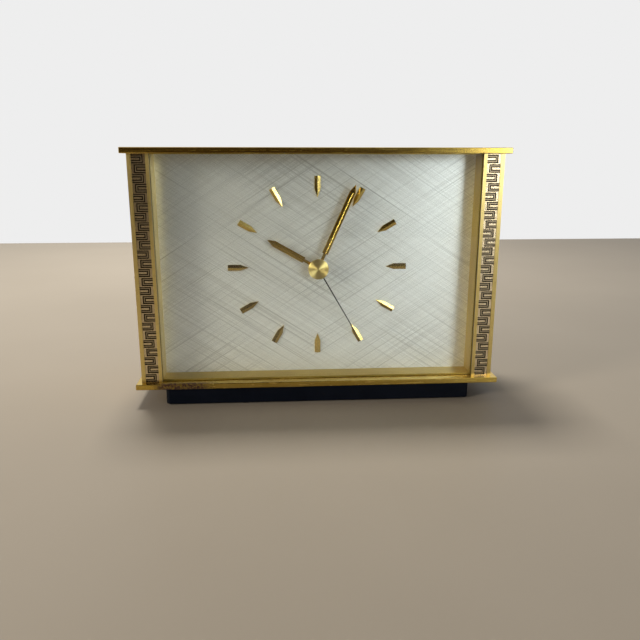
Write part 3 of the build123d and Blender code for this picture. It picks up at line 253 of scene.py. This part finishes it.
tree.links.new(scored.outputs["Normal"], shader.inputs["Normal"])
across_bar = add(tree, "CombineXYZ", {"X": 0.7, "Y": 0.7, "Z": 0.0})
tree.links.new(across_bar.outputs["Vector"], shader.inputs["Tangent"])
dress(brass_bar, "left_column", "right_column")


# Meander strips: thin brass castings with a Greek-key relief, patinated dark and rubbed bright on the raised
# strokes, pressed into the channels of the columns.

# Patinated cast brass: brown-black in the ground, rubbed to grey-gold on the raised strokes, with the sand's
# grit of about 0.9 mm.
meander_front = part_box("left_meander")[0].y
meander_relief = 0.0006
cast_brass, tree, shader = start_material("patinated_cast_brass", Metallic=1.0)
where = add(tree, "TexCoord").outputs["Object"]
place = add(tree, "SeparateXYZ", {"Vector": where})
raised = add(tree, "MapRange", {"Value": place.outputs["Y"],
                                "From Min": meander_front + 0.55 * meander_relief,
                                "From Max": meander_front + 0.30 * meander_relief},
             interpolation_type="SMOOTHSTEP")
grit = add(tree, "TexNoise", {"Vector": where, "Scale": 1 / 0.0009, "Detail": 4.0, "Roughness": 0.7})
ground = add(tree, "Mix", {BLEND: grit.outputs["Fac"], COLOUR_A: linear("#150e08"),
                           COLOUR_B: linear("#33271b")}, data_type="RGBA")
rubbed = add(tree, "Mix", {BLEND: grit.outputs["Fac"], COLOUR_A: linear("#c6aa74"),
                           COLOUR_B: linear("#f1e3c2")}, data_type="RGBA")
cast = add(tree, "Mix", {BLEND: raised.outputs["Result"], COLOUR_A: ground.outputs[COLOUR],
                         COLOUR_B: rubbed.outputs[COLOUR]}, data_type="RGBA")
tree.links.new(cast.outputs[COLOUR], shader.inputs["Base Color"])
polish = add(tree, "MapRange", {"Value": raised.outputs["Result"], "To Min": 0.50, "To Max": 0.27})
tree.links.new(polish.outputs["Result"], shader.inputs["Roughness"])
sand = add(tree, "Bump", {"Height": grit.outputs["Fac"], "Strength": 0.25, "Distance": 0.0001})
tree.links.new(sand.outputs["Normal"], shader.inputs["Normal"])
dress(cast_brass, "left_meander", "right_meander")


# Linings, side panels: thin brass strip, brushed satin, that closes the sides of the case
# and the space between the glass and the dial.

# Satin brass strip: an olive gold, brushed along its length, so that it blurs what it mirrors.
satin_brass, tree, shader = start_material("satin_brass_strip", Metallic=1.0)
where = add(tree, "TexCoord").outputs["Object"]
rub = add(tree, "Mapping", {"Vector": where, "Scale": (0.030, 0.0004, 0.030)}, vector_type="TEXTURE")
rubbing = add(tree, "TexNoise", {"Vector": rub.outputs["Vector"], "Scale": 1.0, "Detail": 3.0,
                                 "Roughness": 0.6})
clouds = add(tree, "TexNoise", {"Vector": where, "Scale": 1 / 0.020, "Detail": 4.0, "Roughness": 0.6})
tone = add(tree, "Mix", {BLEND: clouds.outputs["Fac"], COLOUR_A: linear("#d8bd68"),
                         COLOUR_B: linear("#b4974a")}, data_type="RGBA")
tree.links.new(tone.outputs[COLOUR], shader.inputs["Base Color"])
satin = add(tree, "MapRange", {"Value": rubbing.outputs["Fac"], "From Min": 0.3, "From Max": 0.7,
                               "To Min": 0.30, "To Max": 0.42})
tree.links.new(satin.outputs["Result"], shader.inputs["Roughness"])
scored = add(tree, "Bump", {"Height": rubbing.outputs["Fac"], "Strength": 0.1, "Distance": 0.0001})
tree.links.new(scored.outputs["Normal"], shader.inputs["Normal"])
dress(satin_brass, "left_side_panel", "right_side_panel",
      "left_lining", "right_lining", "floor_lining", "ceiling_lining")


# Dial: a sheet of aluminium, silvered, with hairlines brushed by hand in two directions that cross,
# held by feet and screws on the movement.

VECTOR_A, VECTOR_B, VECTOR = 4, 5, 1

# Cross-brushed silvered aluminium: pale grey with crossing hairlines up to 110 mm long. The finest real lines
# are under 0.1 mm wide, so they are drawn 0.3 to 0.7 mm wide to show. Both directions are alike on the left
# half; on the right half the strokes falling to the right are painted stronger, as painted light on them.
brushed_dial, tree, shader = start_material("cross_brushed_silver", Metallic=0.70, Anisotropic=0.70)
where = add(tree, "TexCoord").outputs["Object"]
brush_angle = math.radians(33)
hairs = []
for turn, length, width in ((brush_angle, 0.100, 0.0003), (brush_angle, 0.110, 0.0007),
                            (-brush_angle, 0.090, 0.0003), (-brush_angle, 0.100, 0.0006)):
    along = add(tree, "Mapping", {"Vector": where, "Scale": (length, 1.0, width),
                                  "Rotation": (0.0, turn, 0.0)}, vector_type="TEXTURE")
    hair = add(tree, "TexNoise", {"Vector": along.outputs["Vector"], "Scale": 1.0, "Detail": 2.0,
                                  "Roughness": 0.6})
    hairs.append(hair.outputs["Fac"])
fine_falling, broad_falling, fine_rising, broad_rising = hairs
falling = add(tree, "Math", {0: fine_falling, 1: broad_falling}, operation="ADD")
rising = add(tree, "Math", {0: fine_rising, 1: broad_rising}, operation="ADD")
place = add(tree, "SeparateXYZ", {"Vector": where})
# Painted light: the rising strokes' share drops from left to right, so the falling strokes look more lit on
# the right.
painted_light_rising_share = add(tree, "MapRange", {"Value": place.outputs["X"], "From Min": -0.05, "From Max": 0.05,
                                      "To Min": 0.5, "To Max": 0.25}, interpolation_type="SMOOTHSTEP")
hatch = add(tree, "Mix", {BLEND: painted_light_rising_share.outputs["Result"], NUMBER_A: falling.outputs["Value"],
                          NUMBER_B: rising.outputs["Value"]})
bright = add(tree, "MapRange", {"Value": hatch.outputs[NUMBER], "From Min": 0.72, "From Max": 1.20})
silver = add(tree, "Mix", {BLEND: bright.outputs["Result"], COLOUR_A: linear("#dcdbd5"),
                           COLOUR_B: linear("#f8f8f6")}, data_type="RGBA")
deepest = add(tree, "Math", {0: fine_falling, 1: fine_rising}, operation="MAXIMUM")
deep = add(tree, "MapRange", {"Value": deepest.outputs["Value"], "From Min": 0.52, "From Max": 0.74,
                              "To Max": 0.9})
lined = add(tree, "Mix", {BLEND: deep.outputs["Result"], COLOUR_A: silver.outputs[COLOUR],
                          COLOUR_B: linear("#918f88")}, data_type="RGBA")
tree.links.new(lined.outputs[COLOUR], shader.inputs["Base Color"])
satin = add(tree, "MapRange", {"Value": hatch.outputs[NUMBER], "From Min": 0.80, "From Max": 1.20,
                               "To Min": 0.34, "To Max": 0.40})
tree.links.new(satin.outputs["Result"], shader.inputs["Roughness"])
# Each hair spreads the light across itself, so the lobe is stretched square to the stroke that is on top.
uppermost = add(tree, "Math", {0: rising.outputs["Value"], 1: falling.outputs["Value"]}, operation="SUBTRACT")
chance = add(tree, "MapRange", {"Value": uppermost.outputs["Value"], "From Min": -0.5, "From Max": 0.5})
speckle = add(tree, "TexWhiteNoise", {"Vector": where})
on_top = add(tree, "Math", {0: speckle.outputs["Value"], 1: chance.outputs["Result"]}, operation="LESS_THAN")
across_falling = (math.sin(brush_angle), 0.0, math.cos(brush_angle))
across_rising = (-math.sin(brush_angle), 0.0, math.cos(brush_angle))
across = add(tree, "Mix", {BLEND: on_top.outputs["Value"], VECTOR_A: across_falling, VECTOR_B: across_rising},
             data_type="VECTOR")
tree.links.new(across.outputs[VECTOR], shader.inputs["Tangent"])
scored = add(tree, "Bump", {"Height": hatch.outputs[NUMBER], "Strength": 0.10, "Distance": 0.0002})
tree.links.new(scored.outputs["Normal"], shader.inputs["Normal"])
dress(brushed_dial, "dial_plate")


# Hour markers: twelve brass batons cut to a ridge and a point,
# each with a peg that is pressed through the dial.

# Diamond-cut brass: mirror facets with a faint ripple of about 1.5 mm from the cutter.
cut_brass, tree, shader = start_material("diamond_cut_brass", Metallic=1.0)
where = add(tree, "TexCoord").outputs["Object"]
ripple = add(tree, "TexNoise", {"Vector": where, "Scale": 1 / 0.0015, "Detail": 2.0})
tone = add(tree, "Mix", {BLEND: ripple.outputs["Fac"], COLOUR_A: linear("#e8cd80"),
                         COLOUR_B: linear("#d9b765")}, data_type="RGBA")
tree.links.new(tone.outputs[COLOUR], shader.inputs["Base Color"])
polish = add(tree, "MapRange", {"Value": ripple.outputs["Fac"], "To Min": 0.10, "To Max": 0.16})
tree.links.new(polish.outputs["Result"], shader.inputs["Roughness"])
wave = add(tree, "Bump", {"Height": ripple.outputs["Fac"], "Strength": 0.06, "Distance": 0.0001})
tree.links.new(wave.outputs["Normal"], shader.inputs["Normal"])
dress(cut_brass, "hour_markers")


# Hour and minute hands: brass strip with bevelled sides and a groove down the middle, polished,
# pressed on the pipes of the motion work. The seconds hand is a thin enamelled steel needle.

# Polished brass hand: a mirror polish under an uneven film of lacquer, which shifts its tone and gloss
# a little.
hand_brass, tree, shader = start_material("polished_brass_hand", Metallic=1.0)
where = add(tree, "TexCoord").outputs["Object"]
film = add(tree, "TexNoise", {"Vector": where, "Scale": 1 / 0.006, "Detail": 3.0})
tone = add(tree, "Mix", {BLEND: film.outputs["Fac"], COLOUR_A: linear("#dcc06c"),
                         COLOUR_B: linear("#b08f46")}, data_type="RGBA")
tree.links.new(tone.outputs[COLOUR], shader.inputs["Base Color"])
polish = add(tree, "MapRange", {"Value": film.outputs["Fac"], "To Min": 0.08, "To Max": 0.16})
tree.links.new(polish.outputs["Result"], shader.inputs["Roughness"])
dress(hand_brass, "hour_hand", "minute_hand")

# Black enamelled steel: thin glossy paint with a faint unevenness.
black_enamel, tree, shader = start_material("black_enamelled_steel")
where = add(tree, "TexCoord").outputs["Object"]
flow = add(tree, "TexNoise", {"Vector": where, "Scale": 1 / 0.002, "Detail": 2.0})
tone = add(tree, "Mix", {BLEND: flow.outputs["Fac"], COLOUR_A: linear("#101010"),
                         COLOUR_B: linear("#242322")}, data_type="RGBA")
tree.links.new(tone.outputs[COLOUR], shader.inputs["Base Color"])
gloss = add(tree, "MapRange", {"Value": flow.outputs["Fac"], "To Min": 0.25, "To Max": 0.4})
tree.links.new(gloss.outputs["Result"], shader.inputs["Roughness"])
dress(black_enamel, "seconds_hand")


# Seconds cap: a brass button turned to a flat cone on a lathe,
# pressed on the seconds arbor over the needle.

# Spun brass: rings from the lathe about the centre, 0.25 mm apart and nearly of one tone, because stronger
# ones don't show cleanly at this size. Across them the light is drawn out into two fans.
dial_low, dial_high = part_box("dial_plate")
dial_centre = (0.0, 0.0, 0.5 * (dial_low.z + dial_high.z))
ring_pitch = 0.00025
wave_units = 20
spun_brass, tree, shader = start_material("spun_brass", Metallic=1.0, Anisotropic=1.0)
where = add(tree, "TexCoord").outputs["Object"]
centred = add(tree, "Mapping", {"Vector": where, "Location": dial_centre}, vector_type="TEXTURE")
rings = add(tree, "TexWave", {"Vector": centred.outputs["Vector"], "Scale": 1 / (wave_units * ring_pitch),
                              "Distortion": 0.3}, wave_type="RINGS", rings_direction="Y")
tone = add(tree, "Mix", {BLEND: rings.outputs["Fac"], COLOUR_A: linear("#ecd48a"),
                         COLOUR_B: linear("#e9d086")}, data_type="RGBA")
tree.links.new(tone.outputs[COLOUR], shader.inputs["Base Color"])
polish = add(tree, "MapRange", {"Value": rings.outputs["Fac"], "To Min": 0.41, "To Max": 0.43})
tree.links.new(polish.outputs["Result"], shader.inputs["Roughness"])
tree.links.new(centred.outputs["Vector"], shader.inputs["Tangent"])
dress(spun_brass, "seconds_cap")


# Glass: a flat pane of float glass with cut edges,
# which stands in grooves of the two plates and in rebates of the columns.

# Float glass: clear with a faint green cast, and a light film of dust. Lamps shine through it.
float_glass, tree, shader = start_material("float_glass", IOR=1.5, Transmission_Weight=1.0,
                                           Base_Color=linear("#f7faf8"))
where = add(tree, "TexCoord").outputs["Object"]
film = add(tree, "TexNoise", {"Vector": where, "Scale": 1 / 0.025, "Detail": 5.0, "Roughness": 0.6})
haze = add(tree, "MapRange", {"Value": film.outputs["Fac"], "To Min": 0.0, "To Max": 0.02})
tree.links.new(haze.outputs["Result"], shader.inputs["Roughness"])
path = add(tree, "LightPath")
clear = add(tree, "BsdfTransparent", {"Color": linear("#f2f6f3")})
passed = add(tree, "MixShader", {0: path.outputs["Is Shadow Ray"], 1: shader.outputs["BSDF"],
                                 2: clear.outputs["BSDF"]})
output = next(node for node in tree.nodes if node.type == "OUTPUT_MATERIAL")
tree.links.new(passed.outputs["Shader"], output.inputs["Surface"])
dress(float_glass, "glass")


# Movement and fixings: brass plates and wheels, steel screws and springs, the drive coil and its board,
# the battery and its contacts, all behind the dial and shut in by the rear cover.

def patterned(name, dark, pale, grain, rough, nodes, **constants):
    """A finish with two close tones, a roughness that follows them and a fine bump, all from noise of one
    grain size."""
    material, tree, shader = start_material(name, **constants)
    where = add(tree, "TexCoord").outputs["Object"]
    noise = add(tree, "TexNoise", {"Vector": where, "Scale": 1 / grain, "Detail": 4.0, "Roughness": 0.6})
    tone = add(tree, "Mix", {BLEND: noise.outputs["Fac"], COLOUR_A: linear(dark), COLOUR_B: linear(pale)},
               data_type="RGBA")
    tree.links.new(tone.outputs[COLOUR], shader.inputs["Base Color"])
    spread = add(tree, "MapRange", {"Value": noise.outputs["Fac"], "To Min": rough[0], "To Max": rough[1]})
    tree.links.new(spread.outputs["Result"], shader.inputs["Roughness"])
    texture = add(tree, "Bump", {"Height": noise.outputs["Fac"], "Strength": 0.15, "Distance": 0.5 * grain})
    tree.links.new(texture.outputs["Normal"], shader.inputs["Normal"])
    dress(material, *nodes)


# Turned clock brass: a grainy yellow from stamping and turning.
patterned("turned_clock_brass", "#a98a4a", "#d8bb72", 0.0012, (0.25, 0.45),
          ("rear_posts", "front_movement_plate", "rear_movement_plate", "movement_pillars", "dial_feet",
           "balance_cock", "board_spacers"), Metallic=1.0)
# Cut wheel brass: brighter, polished after the teeth are cut.
patterned("cut_wheel_brass", "#c09c50", "#e4c97e", 0.0010, (0.18, 0.32),
          ("seconds_wheel", "third_wheel", "centre_wheel", "escape_wheel", "cannon_pinion", "minute_wheel",
           "hour_wheel", "balance_wheel", "regulator_lever"), Metallic=1.0)
# Turned bright steel: grey with a slight yellow from its zinc passivation.
patterned("turned_bright_steel", "#8f8d86", "#c4c2ba", 0.0008, (0.25, 0.42),
          ("plinth_screws", "case_tie_screws", "case_screws", "movement_screws", "door_hinge_pin"),
          Metallic=1.0)
# Blued spring steel: a deep blue oxide over polished steel.
patterned("blued_spring_steel", "#27324d", "#4d5a78", 0.0010, (0.2, 0.35),
          ("clutch_spring", "hairspring"), Metallic=1.0)
# Ground ferrite: dark grey, pitted.
patterned("ground_ferrite", "#3c3c3e", "#626265", 0.0006, (0.45, 0.65), ("balance_magnets",), Metallic=0.4)
# Moulded nylon: cream, faintly mottled, with a soft gloss.
patterned("moulded_nylon", "#d9d3be", "#efead8", 0.0030, (0.35, 0.5), ("coil_bobbin",), Subsurface_Weight=0.1)
# Enamelled copper wire: reddish brown, glossy with varnish.
patterned("enamelled_copper_wire", "#7d3a1b", "#b5652f", 0.0004, (0.25, 0.4), ("coil_winding",), Metallic=0.9)
# Resin-bonded paper: brown laminate with visible fibres.
patterned("resin_bonded_paper", "#7a5428", "#a5793f", 0.0020, (0.4, 0.6), ("circuit_board",))
# Pressed tin can: bright grey metal.
patterned("pressed_tin_can", "#9d9d9c", "#cfcfcd", 0.0010, (0.2, 0.35), ("transistor",), Metallic=1.0)
# Shrunk polyester sleeve: dark blue and glossy.
patterned("polyester_sleeve", "#152a5c", "#274382", 0.0030, (0.2, 0.35), ("capacitor",))
# Lacquered battery can: plain dark grey, with a faint orange peel.
patterned("lacquered_battery_can", "#191b20", "#2b2e35", 0.0020, (0.25, 0.4), ("battery",))
# Nickelled contact brass: pale warm grey.
patterned("nickelled_contact_brass", "#b3a98c", "#d9d1ba", 0.0010, (0.22, 0.36),
          ("positive_contact", "negative_contact"), Metallic=1.0)
# PVC insulation on the two leads: soft, with a dull gloss.
patterned("black_pvc_insulation", "#0d0d0d", "#202020", 0.0015, (0.4, 0.55), ("negative_lead",))
patterned("red_pvc_insulation", "#8f1713", "#b32a20", 0.0015, (0.4, 0.55), ("positive_lead",))


# Rear cover, battery holder and door, setting knob: moulded in black polystyrene with a spark-eroded grain.
# The cover closes the back between the posts, and the door swings on a steel pin.

# Grained black polystyrene: a soft grey-black with a 0.5 mm grain that scatters the light.
patterned("grained_black_polystyrene", "#1b1b1d", "#2d2d30", 0.0005, (0.42, 0.58),
          ("battery_holder", "rear_cover", "battery_door", "set_knob"))


# Table, light and camera: a plain pale table top in a white room that is dim straight in front of the clock.
# A cool strip lamp stands to the right, a warmer one to the left, and a third lamp hangs above and behind.

table_half_width = 1.6
table_front = -0.70
table_back = 0.62
table_mesh = bpy.data.meshes.new("table_top")
table_mesh.from_pydata(
    [(-table_half_width, table_front, 0), (table_half_width, table_front, 0),
     (table_half_width, table_back, 0), (-table_half_width, table_back, 0)], [], [(0, 1, 2, 3)])
table_top = bpy.data.objects.new("table_top", table_mesh)
bpy.context.collection.objects.link(table_top)

# Pale table top: matt taupe with a faint mottle.
table_taupe, tree, shader = start_material("pale_taupe_table", Roughness=0.6)
where = add(tree, "TexCoord").outputs["Object"]
mottle = add(tree, "TexNoise", {"Vector": where, "Scale": 1 / 0.15, "Detail": 3.0})
tone = add(tree, "Mix", {BLEND: mottle.outputs["Fac"], COLOUR_A: linear("#857c6f"),
                         COLOUR_B: linear("#8f8679")}, data_type="RGBA")
tree.links.new(tone.outputs[COLOUR], shader.inputs["Base Color"])
table_mesh.materials.append(table_taupe)

# The room: white walls behind the clock and to both sides of it, dim straight in front and below the table.
# What the camera, metal and glass see of it is at full strength, and what lights matt surfaces is weaker.
dim_corner = linear("#2a1d0c")
right_wall = linear("#c4c8cc")
left_wall = linear("#c4c0ba")
back_wall = linear("#eeeeee")
world = bpy.data.worlds.new("room")
bpy.context.scene.world = world
world.use_nodes = True
tree = world.node_tree
tree.nodes.clear()
direction = add(tree, "SeparateXYZ", {"Vector": add(tree, "TexCoord").outputs["Generated"]})
forward = add(tree, "Math", {0: direction.outputs["Y"], 1: -1.0}, operation="MULTIPLY")
bearing = add(tree, "Math", {0: direction.outputs["X"], 1: forward.outputs["Value"]}, operation="ARCTAN2")
to_right = add(tree, "MapRange", {"Value": bearing.outputs["Value"], "From Min": math.radians(13),
                                  "From Max": math.radians(20)}, interpolation_type="SMOOTHSTEP")
to_left = add(tree, "MapRange", {"Value": bearing.outputs["Value"], "From Min": math.radians(-45),
                                 "From Max": math.radians(-53)}, interpolation_type="SMOOTHSTEP")
to_back = add(tree, "MapRange", {"Value": direction.outputs["Y"], "From Min": -0.1, "From Max": 0.5},
              interpolation_type="SMOOTHSTEP")
to_floor = add(tree, "MapRange", {"Value": direction.outputs["Z"], "From Min": -0.02, "From Max": -0.07})
room = dim_corner
for share, wall in ((to_right, right_wall), (to_left, left_wall), (to_back, back_wall),
                    (to_floor, dim_corner)):
    side = add(tree, "Mix", {BLEND: share.outputs["Result"], COLOUR_A: room, COLOUR_B: wall},
               data_type="RGBA")
    room = side.outputs[COLOUR]
path = add(tree, "LightPath")
backdrop = add(tree, "Mix", {BLEND: path.outputs["Is Camera Ray"], COLOUR_A: room, COLOUR_B: back_wall},
               data_type="RGBA")
seen = path.outputs["Is Camera Ray"]
for ray in ("Is Glossy Ray", "Is Transmission Ray"):
    seen = add(tree, "Math", {0: seen, 1: path.outputs[ray]}, operation="MAXIMUM").outputs["Value"]
strength = add(tree, "MapRange", {"Value": seen, "To Min": 0.24, "To Max": 1.0})
background = add(tree, "Background", {"Color": backdrop.outputs[COLOUR],
                                      "Strength": strength.outputs["Result"]})
add(tree, "OutputWorld", {"Surface": background.outputs["Background"]})


def hang_lamp(name, place, width, length, power, colour):
    """A rectangular lamp that shines along its own -Z, with its place and turn in one matrix."""
    data = bpy.data.lights.new(name, "AREA")
    data.shape = "RECTANGLE"
    data.size = width
    data.size_y = length
    data.energy = power
    data.color = linear(colour)[:3]
    lamp = bpy.data.objects.new(name, data)
    lamp.visible_camera = False
    lamp.matrix_world = place
    bpy.context.collection.objects.link(lamp)
    return lamp


def facing_clock(bearing, distance, height):
    """A place at a bearing from straight in front of the dial: turned about Z by the bearing, and stooped by
    the angle whose tangent is height over distance, so that -Z points at the clock's foot."""
    place = (distance * math.sin(bearing), -distance * math.cos(bearing), height)
    stoop = math.pi / 2 - math.atan2(height, distance)
    return Matrix.Translation(place) @ Matrix.Rotation(bearing, 4, "Z") @ Matrix.Rotation(stoop, 4, "X")


right_place = facing_clock(bearing=math.radians(31), distance=1.3, height=0.24)
left_place = facing_clock(bearing=math.radians(-61), distance=1.0, height=0.36)
ceiling_place = Matrix.Translation((-0.15, 0.42, 1.25))
hang_lamp("strip_right", right_place, width=0.42, length=0.46, power=4.0, colour="#f2f7ff")
hang_lamp("strip_left", left_place, width=0.26, length=0.42, power=8.0, colour="#fff4e4")
# The lamp above lights the table. Its mirror image would whiten the top plate, so the brass doesn't show it.
ceiling = hang_lamp("ceiling", ceiling_place, width=0.35, length=0.35, power=8.0, colour="#fffdf8")
ceiling.data.spread = math.radians(90)
ceiling.visible_glossy = False

# The camera stands where the photograph was taken: a little left of the clock and at the height of its top.
camera_place = (-0.02006, -0.33028, 0.11870)
camera_yaw = math.radians(-3.852)
camera_pitch = math.radians(-14.155)
camera_roll = math.radians(-0.024)
camera_data = bpy.data.cameras.new("camera")
camera_data.sensor_width = 36.0
camera_data.lens = 36.0
camera_data.clip_start = 0.01
camera = bpy.data.objects.new("camera", camera_data)
look = (Matrix.Rotation(camera_yaw, 4, "Z") @ Matrix.Rotation(camera_pitch, 4, "X")
        @ Matrix.Rotation(camera_roll, 4, "Y"))
camera.matrix_world = Matrix.Translation(camera_place) @ look @ Matrix.Rotation(math.pi / 2, 4, "X")
bpy.context.collection.objects.link(camera)
bpy.context.scene.camera = camera
bpy.context.scene.view_settings.view_transform = "Standard"
